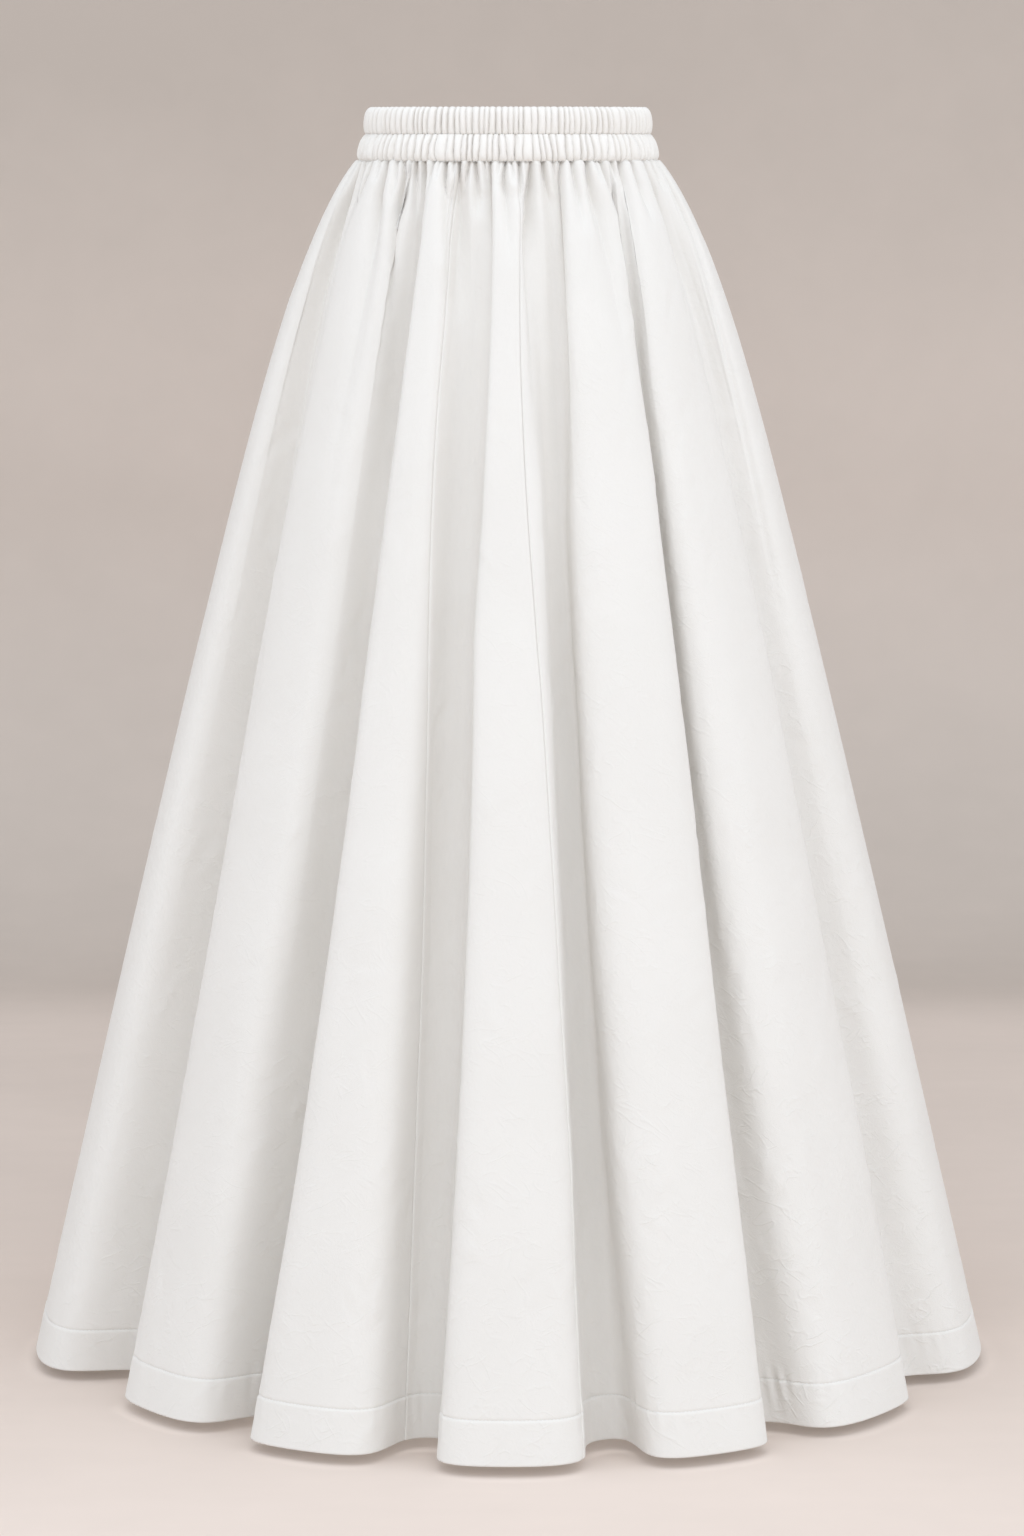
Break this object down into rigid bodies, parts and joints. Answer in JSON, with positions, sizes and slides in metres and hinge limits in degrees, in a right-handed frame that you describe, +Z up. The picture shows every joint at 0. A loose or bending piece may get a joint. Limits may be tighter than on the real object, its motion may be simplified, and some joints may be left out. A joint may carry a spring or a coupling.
{
  "type": "skirt",
  "caption": "Full-length gathered skirt of six flared gores on a two-channel elastic waistband, filled out in soft folds as if worn, open at waist and hem.",
  "frame": {"origin": "centre of the waistband at half its height, where the wearer's waist holds the skirt", "axes": "+Z up, the front faces -Y, +X to the right of a viewer who faces the front"},
  "size_m": [0.8007, 0.753, 1.0397],
  "materials": {
    "skirt_cotton": "white cotton poplin, matt, fine plain weave",
    "waistband_cotton": "white cotton poplin gathered over elastic, matt"
  },
  "bodies": {
    "root": {"waistband_upper_channel": "waistband_cotton", "waistband_lower_channel": "waistband_cotton", "gore_front_left": "skirt_cotton", "gore_front_centre": "skirt_cotton", "gore_front_right": "skirt_cotton", "gore_back_right": "skirt_cotton", "gore_back_centre": "skirt_cotton", "gore_back_left": "skirt_cotton"}
  },
  "joints": []
}
